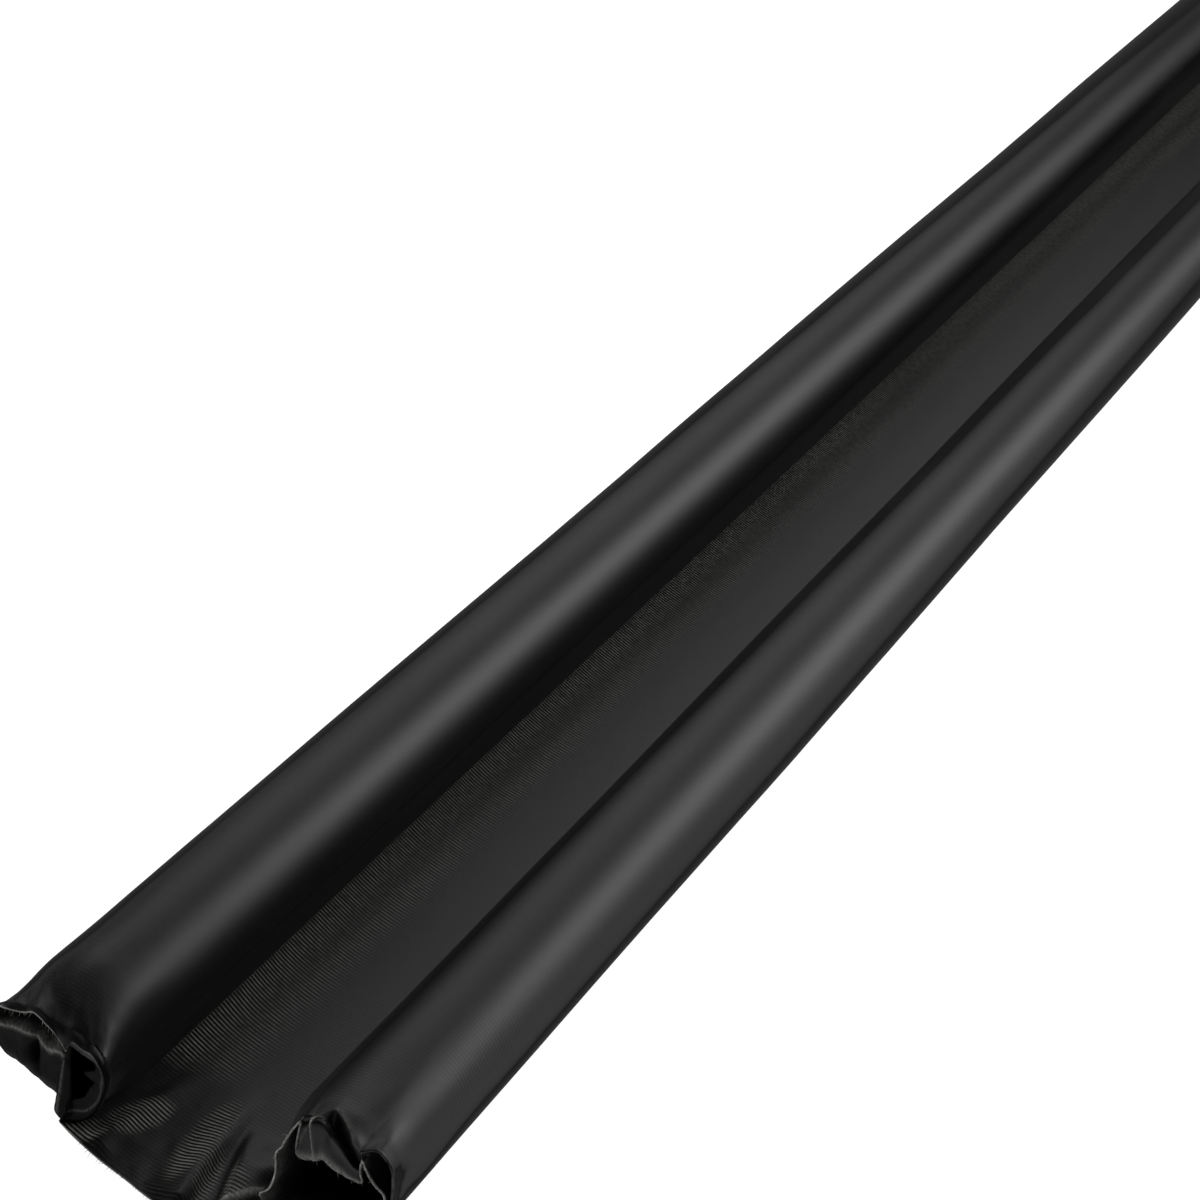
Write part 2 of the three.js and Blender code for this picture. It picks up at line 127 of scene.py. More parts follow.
CRUMPLED_RIGHT = (
    ((15.5, 23.4, 0.6), (18.5, 22.6, 0.6)),
    ((17.5, 22.2, 5.4), (19.8, 21.3, 4.0)),
    ((17.8, 24.0, 9.0), (20.0, 23.6, 7.4)),
    ((18.0, 25.2, 13.0), (20.0, 25.2, 12.8)),
    ((17.6, 25.4, 18.0), (20.0, 25.2, 18.6)),
    ((17.4, 25.9, 20.0), (19.0, 25.7, 19.8)),
    ((17.2, 27.0, 24.0), (19.6, 27.2, 23.8)),
    ((17.2, 28.4, 27.2), (19.4, 28.8, 27.2)),
    ((17.4, 29.6, 29.2), (19.0, 30.1, 29.8)),
    # The top is turned in as a flap, whose left part is set back behind a pleat
    ((17.0, 30.4, 30.0), (17.2, 29.9, 28.8), (16.0, 28.4, 24.4), (14.8, 27.0, 15.4)),
    ((16.9, 31.0, 30.2), (17.0, 30.7, 29.0), (15.6, 30.0, 25.2), (14.8, 29.4, 15.2)),
    ((16.8, 31.6, 30.3), (16.8, 31.4, 29.4), (15.2, 31.4, 26.4), (15.0, 31.8, 16.6)),
    ((16.8, 32.2, 30.4), (17.6, 32.0, 30.0), (18.4, 32.1, 28.4), (18.0, 33.2, 19.2)),
    ((13.8, 34.0, 30.5), (15.8, 34.0, 29.9), (17.6, 33.9, 29.3), (17.2, 34.1, 19.3)),
    # Beside the flap the top's edge stands over a groove
    ((12.3, 35.0, 30.6), (14.0, 35.0, 26.4), (17.0, 34.9, 29.0), (16.9, 34.8, 19.7)),
    ((14.2, 38.4, 30.5), (14.4, 38.0, 24.0), (17.4, 37.4, 27.2), (16.1, 36.9, 17.8)),
    ((16.4, 41.4, 29.9), (14.4, 41.0, 21.6), (17.0, 40.6, 23.2), (16.0, 39.9, 17.1)),
    ((18.2, 44.0, 28.9), (14.6, 43.2, 20.2), (16.8, 43.0, 21.0), (16.0, 42.6, 17.0)),
    ((18.6, 45.0, 28.5), (15.8, 44.4, 20.6), (17.0, 44.6, 21.2), (16.6, 44.8, 17.6)),
    ((18.6, 45.4, 28.6), (17.2, 45.2, 24.6), (18.0, 45.2, 23.2), (18.2, 45.2, 21.6)),
    # Then it curls outward round a hollow
    ((18.4, 45.9, 28.8), (18.0, 45.9, 28.0), (18.6, 45.9, 27.4), (19.2, 45.8, 27.0)),
    ((17.8, 47.0, 29.2), (14.4, 47.4, 25.6), (17.4, 47.0, 24.8), (19.0, 46.6, 25.0)),
    ((17.4, 48.8, 29.6), (12.6, 49.2, 23.4), (16.8, 48.2, 22.2), (19.0, 47.7, 23.0)),
    ((17.3, 50.5, 28.3), (12.4, 50.6, 22.0), (16.8, 49.8, 20.6), (19.0, 49.3, 21.4)),
    ((17.4, 52.1, 26.3), (13.6, 51.9, 20.6), (17.2, 51.4, 19.4), (19.0, 51.2, 20.0)),
    ((17.6, 52.8, 24.2), (16.4, 52.6, 19.8), (18.0, 52.6, 18.2), (19.3, 52.4, 18.0)),
    ((18.0, 53.1, 20.0), (18.2, 53.0, 17.4), (18.8, 52.9, 16.0), (19.6, 52.8, 15.0)),
    ((18.2, 52.8, 14.2), (19.8, 52.8, 11.5)),
    ((18.2, 50.6, 8.0), (19.8, 50.6, 6.6)),
    ((18.3, 45.0, 2.4), (20.0, 44.6, 2.0)),
    ((18.5, 38.0, 0.6), (20.0, 38.0, 0.6)),
    ((17.5, 30.5, 0.6), (19.0, 30.5, 0.6)),
    ((15.5, 23.4, 0.6), (18.5, 22.6, 0.6)),
)
PLAIN_RIM = (
    ((21.0, 24.6, 0.6), (22.5, 24.6, 0.6)),
    ((20.5, 22.6, 6.5), (22.0, 22.4, 6.5)),
    ((20.0, 21.4, 13.0), (21.5, 21.0, 13.0)),
    ((19.5, 23.6, 20.5), (21.0, 23.4, 20.6)),
    ((19.0, 29.0, 26.5), (20.5, 29.0, 26.4)),
    ((19.0, 36.0, 28.2), (20.5, 36.0, 28.0)),
    ((19.5, 44.0, 27.2), (21.0, 44.2, 27.0)),
    ((20.5, 50.6, 21.8), (22.0, 51.0, 21.6)),
    ((21.0, 52.8, 13.5), (22.5, 53.0, 13.2)),
    ((21.0, 50.0, 5.5), (22.5, 50.0, 5.2)),
    ((20.5, 43.5, 1.0), (22.0, 43.5, 0.9)),
    ((21.0, 33.5, 0.6), (22.5, 33.5, 0.6)),
    ((21.0, 24.6, 0.6), (22.5, 24.6, 0.6)),
)
PLAIN_SAG = {"left": 1.0, "right": 0.93}
# In a row of two places the cloth runs straight, and these are its shares at bend, tuck, crest and edge
STRAIGHT_SHARES = (0, 0.35, 0.7, 1)
# The filling's end stands out a little in its middle
HUB_REACH = 2.0

# Pale lines of the crumpled rims, along raw edges and folds: from and to (row of the table, 1 at the
# bend to 2 at the raw edge), width and strength
PALE_LINES = {
    "left": (
        ((1.8, 1.67), (11.0, 1.67), 0.16, 0.5),
        ((11.0, 1.67), (14.0, 1.8), 0.16, 0.7),
        ((14.0, 2.0), (22.0, 2.0), 0.3, 1.0),
        ((22.0, 1.67), (29.4, 1.67), 0.16, 0.85),
        ((22.6, 1.88), (29.0, 1.88), 0.8, 0.54),
        ((29.6, 1.72), (33.4, 1.7), 0.2, 0.55),
    ),
    "right": (
        ((1.0, 2.0), (9.0, 2.0), 0.25, 1.0),
        ((8.8, 1.9), (12.0, 1.15), 0.16, 0.6),
        ((12.0, 1.1), (12.0, 2.0), 0.14, 1.0),
        ((12.0, 1.12), (14.0, 1.5), 0.12, 0.6),
        ((9.0, 2.0), (19.0, 2.0), 0.25, 1.0),
        ((13.6, 1.0), (18.0, 1.0), 0.16, 0.45),
        ((21.0, 1.12), (25.0, 1.14), 0.35, 0.33),
        ((15.0, 1.67), (18.5, 1.67), 0.14, 0.45),
        ((19.5, 2.0), (28.0, 2.0), 0.25, 1.0),
    ),
}
# In a line's width a whole share counts as three rows
ROWS_PER_SHARE = 3
# The inside is painted paler, as light that falls in where the cuff gapes, between these places
# across, and at most this much
LIT_INSIDE = {"left": (30.0, 33.0), "right": (16.0, 20.0)}
LIT_INSIDE_MOST = 0.45
# How pale the raw edges of the web and the frayed threads are
PALE_WEB_EDGE = 0.75
PALE_THREAD = 0.9

# Faces of the crumpled rims that are turned in and shine less than the tubes: from and to (row of the
# table), and how much less. They fade over some rows, and along the cuff over these shares.
DULL_FACES = {
    "left": ((-1.0, 10.0, 0.86), (22.6, 36.0, 0.9)),
    "right": ((9.0, 18.0, 0.35),),
}
DULL_FADE_ROWS = 0.7
DULL_SHARES = (0.88, 1.2)

# Frayed threads of the crumpled raw edges: rows of the tables that have them, share of the places that
# have one, length from and to, thickness at the root, how far they lean, and the three corners of one
FRAYED_ROWS = {"left": (13.5, 22.0), "right": (3.0, 27.0)}
FRAYED_SHARE = 0.5
FRAYED_LENGTH = (0.5, 1.9)
FRAYED_ROOT = 0.16
FRAYED_LEAN = 0.45
FRAYED_SEED = 21
THREAD_CORNERS = (0, 2 * math.pi / 3, 4 * math.pi / 3)

# Slight swelling and slack of the filled tubes: x, left, right
SWELL = (
    (-424, 0.0, 0.0),
    (-330, 0.2, -0.1),
    (-210, -0.2, 0.2),
    (-90, 0.1, -0.2),
    (30, 0.3, 0.2),
    (150, -0.2, 0.1),
    (270, 0.1, -0.2),
    (370, -0.1, 0.2),
)
# Waves of the cloth: height, and length round a tube and along it. Soft and fine ones are everywhere.
# Slack ones grow between these distances past the filling, by the crumpled end and on all cuffs.
SOFT_WAVE = (0.10, 21.0, 47.0)
FINE_WAVE = (0.03, 5.0, 9.0)
SLACK_WAVE = (0.4, 6.5, 26.0)
SLACK_REACH = (-34.0, 6.0)
# They grow from the seam over these turns, end where the cloth comes down to the floor over these
# turns, and end before a cuff's bend over these shares
SEAM_TURNS = (0.0, 0.08)
FLOOR_TURNS = (0.8, 0.88)
WAVE_END_SHARES = (0.6, 1.0)
# The cuffs' cloth is pushed in and out this far by waves, each with a share of that height, a length
# round the tube and a length along it. The push grows over these shares, and from and to the seam over
# these turns.
CRUMPLE = 0.22
CRUMPLE_WAVES = ((1.0, 2.7, 3.6), (0.5, 1.1, 2.1))
CRUMPLE_SHARES = (0.2, 1.2)
CRUMPLE_START_TURNS = (0.0, 0.03)
CRUMPLE_END_TURNS = (0.97, 1.0)
# About how far a cuff's bend lies past the filling
CUFF_REACH = 20.0
# Seeds of the noise, from which the waves and patches count on
SIDE_SEEDS = {"left": 3, "right": 11}
WEB_SEED = 31

# Raw front edges of the web: place across, reach past the filling
CRUMPLED_WEB_EDGE = (
    (28.0, 23.7),
    (25.0, 24.8),
    (20.0, 26.4),
    (16.0, 27.5),
    (8.6, 29.1),
    (0.0, 31.2),
    (-5.0, 32.0),
    (-9.5, 31.0),
    (-13.6, 28.6),
    (-18.4, 23.6),
)
PLAIN_WEB_EDGE = (
    (16.0, 23.6),
    (6.0, 24.6),
    (-4.0, 25.0),
    (-14.0, 23.8),
)

# Folds that stand up in the web at the crumpled end: place across at the back and at the tip,
# height, and the width of the left and right flank
WEB_FOLDS = (
    (13.5, 20.5, 1.3, 2.4, 3.4),
    (-0.6, -7.0, 3.0, 6.0, 1.7),
)
FOLD_START = -14.0
FOLD_FULL = 20.0
# The folds come down to the floor before the web's raw edge and beside its seams
FOLD_EDGE = (-0.5, 3.5)
FOLD_SIDES = (SEAM_ACROSS - 4.0, SEAM_ACROSS + 2.0)
# Small folds: height, and length along the sleeve and across
SMALL_FOLDS = ((0.25, 9.0, 3.3), (0.12, 3.1, 2.2))
# A flap of the web beside the right cuff: its left side and its front, each from and to (reach past
# the filling, across), its hollow (reach, across, length, width and depth as a share), and its height
FLAP_LEFT = ((2.0, -6.2), (23.0, -12.8))
FLAP_FRONT = ((28.0, -12.0), (15.4, -21.1))
FLAP_HOLLOW = (13.2, -21.0, 4.2, 2.2, 0.85)
FLAP_HEIGHT = 2.4
# It rises over these distances from its left side and its front, and over this reach, and is wavy
FLAP_LEFT_RISE = (-0.8, 2.0)
FLAP_FRONT_RISE = (-0.2, 0.7)
FLAP_RISE = (-2.0, 13.0)
FLAP_WAVE = (0.15, 4.0, 4.0)
# Pale lines on the flap: a painted highlight on the crest beside its left side, and its pale frayed
# front: distance, the reach over which they begin, and strength
FLAP_CREST_GLINT = (1.2, (6.0, 16.0), 0.5)
FLAP_FRAYED_FRONT = (0.6, (6.0, 10.0), 0.95)
FLAP_LINE_WIDTH = 0.6

# How strongly the ribs show on the tubes, in bump and in their painted highlight and shade: everywhere,
# more in patches (length round the tube and along it), and less on the cuffs, over these shares
TUBE_RIB = 0.004
TUBE_RIB_PATCHY = 0.05
TUBE_PATCHES = (17.0, 38.0)
CUFF_RIB_LOSS = 0.8
CUFF_RIB_SHARES = (0.7, 1.1)
# On the web: everywhere, and more in soft patches (length along the sleeve and across)
WEB_RIB = 0.008
WEB_RIB_PATCHY = 0.02
WEB_PATCHES = (31.0, 7.0)
# Bands along the web where the ribs stand out, in bump and with painted crest highlights and valley
# shade: place across, width, strength, and how patchy they are. They fade out over this stretch before
# the filling's end.
RIB_BANDS = (
    (21.0, 5.2, 1.0, 0.35),
    (9.6, 4.0, 0.38, 0.5),
)
RIB_BANDS_END = (-16.0, -5.0)
# Patches of the web where the ribs stand out, in bump and with painted crest highlights and valley
# shade: reach, across, half length, half width, lean, strength
RIB_PATCHES = (
    (11.5, 17.2, 7.4, 5.2, 0.35, 1.0),
    (21.5, 24.6, 4.4, 4.8, 0.4, 0.9),
    (11.5, -0.2, 15.0, 4.5, -0.06, 1.0),
    (19.0, -7.2, 10.0, 2.4, -0.25, 0.75),
    (19.0, -14.5, 7.0, 3.0, -0.4, 0.3),
)
# Their outlines are this ragged, and they fade between these distances from their middle; both count
# in half lengths and half widths
PATCH_RAGGED = 0.3
PATCH_FADE = (0.55, 1.2)
# The web's ribs lean, and they bow on its left half, but less at the crumpled end, over this stretch
RIB_LEAN = 0.1
RIB_BOW = 0.009
BOW_LOSS = 0.6
BOW_STRETCH = (CRUMPLED_END + 40.0, CRUMPLED_END - 8.0)
# The tubes' patterns are read this far from the web's, so that they differ
PATTERN_APART = 100.0

# Uneven numbers that scatter the noise: for both coordinates, for the seed, and a last stretch
SCATTER = (127.1, 311.7, 74.7, 43758.5453)


def mix(a, b, share):
    return a + (b - a) * share


def smoothstep(low, high, x):
    t = np.clip((x - low) / (high - low), 0.0, 1.0)
    return t * t * (3 - 2 * t)


def noise(u, v, seed):
    """Smooth noise from -1 to 1 over two coordinates, the same on every run."""
    iu, iv = np.floor(u), np.floor(v)
    fu, fv = u - iu, v - iv
    fu, fv = fu * fu * (3 - 2 * fu), fv * fv * (3 - 2 * fv)

    def corner(du, dv):
        spot = (iu + du) * SCATTER[0] + (iv + dv) * SCATTER[1] + seed * SCATTER[2]
        value = np.sin(spot) * SCATTER[3]
        return 2 * (value - np.floor(value)) - 1

    low = mix(corner(0, 0), corner(1, 0), fu)
    high = mix(corner(0, 1), corner(1, 1), fu)
    return mix(low, high, fv)


def waves(row, u, v, seed, strength=1.0):
    """Noise with the height and the lengths along u and v that a row gives."""
    height, u_length, v_length = row
    return height * strength * noise(u / u_length, v / v_length, seed)


def patches(lengths, u, v, seed):
    """Soft patches from 0 to 1, of the lengths given along u and v."""
    u_length, v_length = lengths
    return 0.5 + 0.5 * noise(u / u_length, v / v_length, seed)


def round_section(turn):
    """Middle of the cloth round a filled tube, from the seam up its inner side and back under."""
    along = turn * GIRTH
    arc = WALL_RADIUS * ARC_ANGLE
    top_across = TUBE_ACROSS + WALL_RADIUS * math.cos(ARC_START)
    top_up = TUBE_RADIUS + WALL_RADIUS * math.sin(ARC_START)
    share = along / SEAM_GAP
    angle = ARC_START - (along - SEAM_GAP) / WALL_RADIUS
    across = np.where(
        along < SEAM_GAP,
        mix(SEAM_ACROSS, top_across, share),
        np.where(
            along < SEAM_GAP + arc,
            TUBE_ACROSS + WALL_RADIUS * np.cos(angle),
            TUBE_ACROSS - (along - SEAM_GAP - arc),
        ),
    )
    up = np.where(
        along < SEAM_GAP,
        mix(HALF_CLOTH, top_up, share),
        np.where(along < SEAM_GAP + arc, TUBE_RADIUS + WALL_RADIUS * np.sin(angle), HALF_CLOTH),
    )
    return across, up


def smooth_curve(points, per_span=24):
    """Centripetal Catmull-Rom curve through the points, as many short steps."""
    p = np.asarray(points, float)
    p = np.vstack([2 * p[0] - p[1], p, 2 * p[-1] - p[-2]])
    made = []
    for k in range(1, len(p) - 2):
        a, b, c, d = p[k - 1 : k + 3]
        t0 = 0.0
        t1 = t0 + max(np.linalg.norm(b - a), 1e-6) ** 0.5
        t2 = t1 + max(np.linalg.norm(c - b), 1e-6) ** 0.5
        t3 = t2 + max(np.linalg.norm(d - c), 1e-6) ** 0.5
        t = np.linspace(t1, t2, per_span, endpoint=False)[:, None]
        ab = (t1 - t) / (t1 - t0) * a + (t - t0) / (t1 - t0) * b
        bc = (t2 - t) / (t2 - t1) * b + (t - t1) / (t2 - t1) * c
        cd = (t3 - t) / (t3 - t2) * c + (t - t2) / (t3 - t2) * d
        abc = (t2 - t) / (t2 - t0) * ab + (t - t0) / (t2 - t0) * bc
        bcd = (t3 - t) / (t3 - t1) * bc + (t - t1) / (t3 - t1) * cd
        made.append((t2 - t) / (t2 - t1) * abc + (t - t1) / (t2 - t1) * bcd)
    return np.vstack(made + [p[-2:-1]])


def rim_curve(rows, sag=1.0):
    """A rim as many short steps, each with its bend, tuck, crest and edge."""
    full = []
    for row in rows:
        places = np.array(row)
        if len(places) == 2:
            places = np.array([mix(places[0], places[1], share) for share in STRAIGHT_SHARES])
        full.append(places)
    full = np.array(full)
    full[..., 2] = HALF_CLOTH + (full[..., 2] - HALF_CLOTH) * sag
    dense = smooth_curve(full.reshape(len(full), -1)).reshape(-1, *full.shape[1:])
    dense[..., 2] = np.maximum(dense[..., 2], HALF_CLOTH)
    return dense


def length_shares(line):
    gone = np.concatenate([[0], np.cumsum(np.linalg.norm(np.diff(line, axis=0), axis=1))])
    return gone / gone[-1]


def read_at(dense, place):
    """The places of a dense curve at fractions between its steps."""
    flat = dense.reshape(len(dense), -1)
    index = np.arange(len(flat))
    read = np.stack([np.interp(place, index, column) for column in flat.T], axis=1)
    return read.reshape(-1, *dense.shape[1:])


ENDS = {
    "crumpled": {"x": CRUMPLED_END, "way": -1, "edge": CRUMPLED_WEB_EDGE},
    "plain": {"x": PLAIN_END, "way": 1, "edge": PLAIN_WEB_EDGE},
}


def make_side(sign, crumpled_rows, sag, seed):
    """One tube's rims, read at steps that are closer together where the raw edge is crumpled."""
    crumpled, plain = rim_curve(crumpled_rows), rim_curve(PLAIN_RIM, sag)
    girth, edge = length_shares(crumpled[:, 0]), length_shares(crumpled[:, 3])
    index = np.arange(len(crumpled))
    place = np.interp(np.linspace(0, 1, TUBE_STEPS + 1), mix(girth, edge, EDGE_SHARE), index)
    turns = np.interp(place, index, girth)
    plain_place = np.interp(turns, length_shares(plain[:, 0]), np.arange(len(plain)))
    rims = {"crumpled": read_at(crumpled, place), "plain": read_at(plain, plain_place)}
    rows = place * (len(crumpled_rows) - 1) / index[-1]
    return {"sign": sign, "seed": seed, "turns": turns, "rims": rims, "rows": rows}


SIDES = {
    "left": make_side(1, CRUMPLED_LEFT, PLAIN_SAG["left"], SIDE_SEEDS["left"]),
    "right": make_side(-1, CRUMPLED_RIGHT, PLAIN_SAG["right"], SIDE_SEEDS["right"]),
}


def cuff_shares(end_name):
    """Shares of a cuff's rows: 0 to 1 up to its bend, and 1 to 2 from there to its raw edge."""
    steps, edge_steps = CUFF_STEPS[end_name]
    return np.concatenate([np.linspace(0, 1, steps + 1)[1:], 1 + np.linspace(0, 1, edge_steps + 1)[1:]])


def stations():
    """Rows of the mesh from the crumpled raw edge to the plain one. Those of a cuff have a share, and
    those of the filled stretch have a place x and the share 0."""
    fine_end = CRUMPLED_END + FINE_REACH
    fine = np.arange(CRUMPLED_END + FINE_STEP, fine_end, FINE_STEP)
    coarse = np.linspace(fine_end + 2 * FINE_STEP, PLAIN_END - 3 * LAST_STEP, COARSE_ROWS)
    last = PLAIN_END - LAST_STEP * np.array([2, 1])
    made = [{"end": "crumpled", "share": s} for s in cuff_shares("crumpled")[::-1]]
    made += [{"end": "crumpled", "share": 0.0, "x": CRUMPLED_END}]
    made += [{"end": None, "share": 0.0, "x": x} for x in np.concatenate([fine, coarse, last])]
    made += [{"end": "plain", "share": 0.0, "x": PLAIN_END}]
    made += [{"end": "plain", "share": s} for s in cuff_shares("plain")]
    return made


STATIONS = stations()


def cloth_wave(side, past, at_cuff):
    """Small outward waves of a tube's cloth: slack by the crumpled end and on all cuffs, and a soft
    unevenness everywhere. past is the distance past the filling, negative over it."""
    turns, seed = SIDES[side]["turns"], SIDES[side]["seed"]
    girth = turns * GIRTH
    level = np.full_like(girth, past)
    slack = smoothstep(*SLACK_REACH, past if at_cuff else -abs(past))
    out = waves(SOFT_WAVE, girth, level, seed) + waves(FINE_WAVE, girth, level, seed + 1)
    out = out + waves(SLACK_WAVE, girth, level, seed + 2, slack)
    calm = np.minimum(smoothstep(*SEAM_TURNS, turns), 1 - smoothstep(*FLOOR_TURNS, turns))
    return out * calm


def strip_places(rim, share):
    """Places between the bend (share 0) and the raw edge (share 1), along a smooth curve."""
    bend, tuck, crest, edge = (rim[:, k] for k in range(4))
    line = (bend, bend, tuck, crest, edge, 2 * edge - crest)
    k = min(int(share * 3), 2)
    t = share * 3 - k
    a, b, c, d = line[k : k + 4]
    slope = c - a
    squared = 2 * a - 5 * b + 4 * c - d
    cubed = 3 * b - a - 3 * c + d
    return 0.5 * (2 * b + slope * t + squared * t**2 + cubed * t**3)


def tube_grid(name):
    """Middle of a tube's cloth: an array of stations by turns by 3."""
    side = SIDES[name]
    turns, sign = side["turns"], side["sign"]
    across, up = round_section(turns)
    lean = np.arctan2(up - TUBE_RADIUS, across - TUBE_ACROSS)
    swell_x = [row[0] for row in SWELL]
    swell = [row[1 if name == "left" else 2] for row in SWELL]
    grid = []
    for station in STATIONS:
        share = station["share"]
        if share == 0:
            x = station["x"]
            wave = cloth_wave(name, CRUMPLED_END - x, False)
            outward = np.sin(np.pi * turns) * np.interp(x, swell_x, swell) + wave
            ys, zs = across + outward * np.cos(lean), up + outward * np.sin(lean)
            row = np.stack([np.full_like(turns, x), ys, np.maximum(zs, HALF_CLOTH)], axis=1)
        else:
            end = ENDS[station["end"]]
            rim = side["rims"][station["end"]]
            if share <= 1:
                bend = rim[:, 0]
                form = share**CUFF_FLARE_POWER
                row = [bend[:, 0] * share, mix(across, bend[:, 1], form), mix(up, bend[:, 2], form)]
                row = np.stack(row, axis=1)
                wave = cloth_wave(name, share * CUFF_REACH, True)
                wave = wave * (1 - smoothstep(*WAVE_END_SHARES, share))
                row[:, 1] += wave * np.cos(lean)
                row[:, 2] = np.maximum(row[:, 2] + wave * np.sin(lean), HALF_CLOTH)
            else:
                row = strip_places(rim, share - 1)
                row[:, 2] = np.maximum(row[:, 2], HALF_CLOTH)
            row[:, 0] = end["x"] + end["way"] * row[:, 0]
        row[:, 1] *= sign
        grid.append(row)
    return crumple(np.array(grid), side)


def crumple(grid, side):
    """Pushes the cloth of the cuffs in and out a little, most of all towards their raw edges."""
    share = np.array([s["share"] for s in STATIONS])
    girth = side["turns"] * GIRTH
    strength = CRUMPLE * smoothstep(*CRUMPLE_SHARES, share)[:, None]
    lengths = cloth_lengths(grid)
    girth = np.broadcast_to(girth, lengths.shape)
    large, small = CRUMPLE_WAVES
    push = waves(large, girth, lengths, side["seed"] + 7)
    push = push + waves(small, girth, lengths, side["seed"] + 8)
    started = smoothstep(*CRUMPLE_START_TURNS, side["turns"])
    calm = np.minimum(started, 1 - smoothstep(*CRUMPLE_END_TURNS, side["turns"]))
    moved = grid + normals_of(grid, side["sign"]) * (strength * push * calm)[..., None]
    moved[..., 2] = np.maximum(moved[..., 2], HALF_CLOTH)
    return moved


def beyond(line, past, y):
    """Distance to the right of a line that runs towards the crumpled end, in reach and across."""
    (reach_a, across_a), (reach_b, across_b) = line
    length = math.hypot(reach_b - reach_a, across_b - across_a)
    return ((past - reach_a) * (across_b - across_a) - (y - across_a) * (reach_b - reach_a)) / length


def flap_height(past, y):
    """Height of the flap beside the right cuff; past is the reach past the filling."""
    rise = smoothstep(*FLAP_LEFT_RISE, beyond(FLAP_LEFT, past, y))
    front = smoothstep(*FLAP_FRONT_RISE, -beyond(FLAP_FRONT[::-1], past, y))
    reach, across, length, width, depth = FLAP_HOLLOW
    hollow = depth * np.exp(-(((past - reach) / length) ** 2) - ((y - across) / width) ** 2)
    wavy = 1 + waves(FLAP_WAVE, past, y, WEB_SEED + 12)
    return FLAP_HEIGHT * rise * front * (1 - hollow) * wavy * smoothstep(*FLAP_RISE, past)


def fold_height(x, y, to_edge):
    """Height of the web's folds above the flat; to_edge is the distance to the raw edge."""
    past = CRUMPLED_END - x
    share = smoothstep(FOLD_START, FOLD_FULL, past) * smoothstep(*FOLD_EDGE, to_edge)
    near_seam = 1 - smoothstep(*FOLD_SIDES, np.abs(y))
    total = np.zeros_like(y)
    for back, tip, height, left_flank, right_flank in WEB_FOLDS:
        middle = mix(back, tip, (past - FOLD_START) / (CRUMPLED_TIP - FOLD_START))
        flank = np.where(y > middle, left_flank, right_flank)
        total += height * np.exp(-(((y - middle) / flank) ** 2))
    longer, shorter = SMALL_FOLDS
    small = waves(longer, past, y, WEB_SEED + 10) + waves(shorter, past, y, WEB_SEED + 11)
    folds = np.maximum((total + small) * share * near_seam, 0)
    return np.maximum(folds, flap_height(past, y) * near_seam)


def web_grid(left, right):
    """Middle of the web's cloth between the seams: stations by steps by 3, seams not included."""
    shares = np.linspace(0, 1, WEB_STEPS + 1)[1:-1]
    grid = []
    for j, station in enumerate(STATIONS):
        seam_l, seam_r = left[j, 0], right[j, 0]
        y = mix(seam_l[1], seam_r[1], shares)
        to_edge = np.full_like(y, LENGTH)
        if station["share"] == 0:
            x = np.full_like(y, station["x"])
        else:
            end = ENDS[station["end"]]
            last = 0 if station["end"] == "crumpled" else -1
            full_l = (left[last, 0, 0] - end["x"]) * end["way"]
            full_r = (right[last, 0, 0] - end["x"]) * end["way"]
            gone_l = (seam_l[0] - end["x"]) * end["way"] / full_l
            gone_r = (seam_r[0] - end["x"]) * end["way"] / full_r
            rows = [(seam_l[1], full_l), *end["edge"], (seam_r[1], full_r)]
            curve = smooth_curve(rows)
            reach = np.interp(-y, -curve[:, 0], curve[:, 1])
            gone = mix(gone_l, gone_r, shares)
            x = end["x"] + end["way"] * gone * reach
            to_edge = (1 - gone) * reach
        z = HALF_CLOTH + fold_height(x, y, to_edge)
        grid.append(np.stack([x, y, z], axis=1))
    return np.array(grid)


def normals_of(grid, sign):
    along = np.gradient(grid, axis=0)
    around = np.gradient(grid, axis=1)
    normal = np.cross(along, around) * sign
    return normal / np.maximum(np.linalg.norm(normal, axis=2, keepdims=True), 1e-9)


def half_thickness():
    """Half the cloth's thickness at each station, thinner towards the raw edges."""
    share = np.array([s["share"] for s in STATIONS])
    return mix(HALF_CLOTH, EDGE_CLOTH / 2, smoothstep(0.0, 1.0, share))


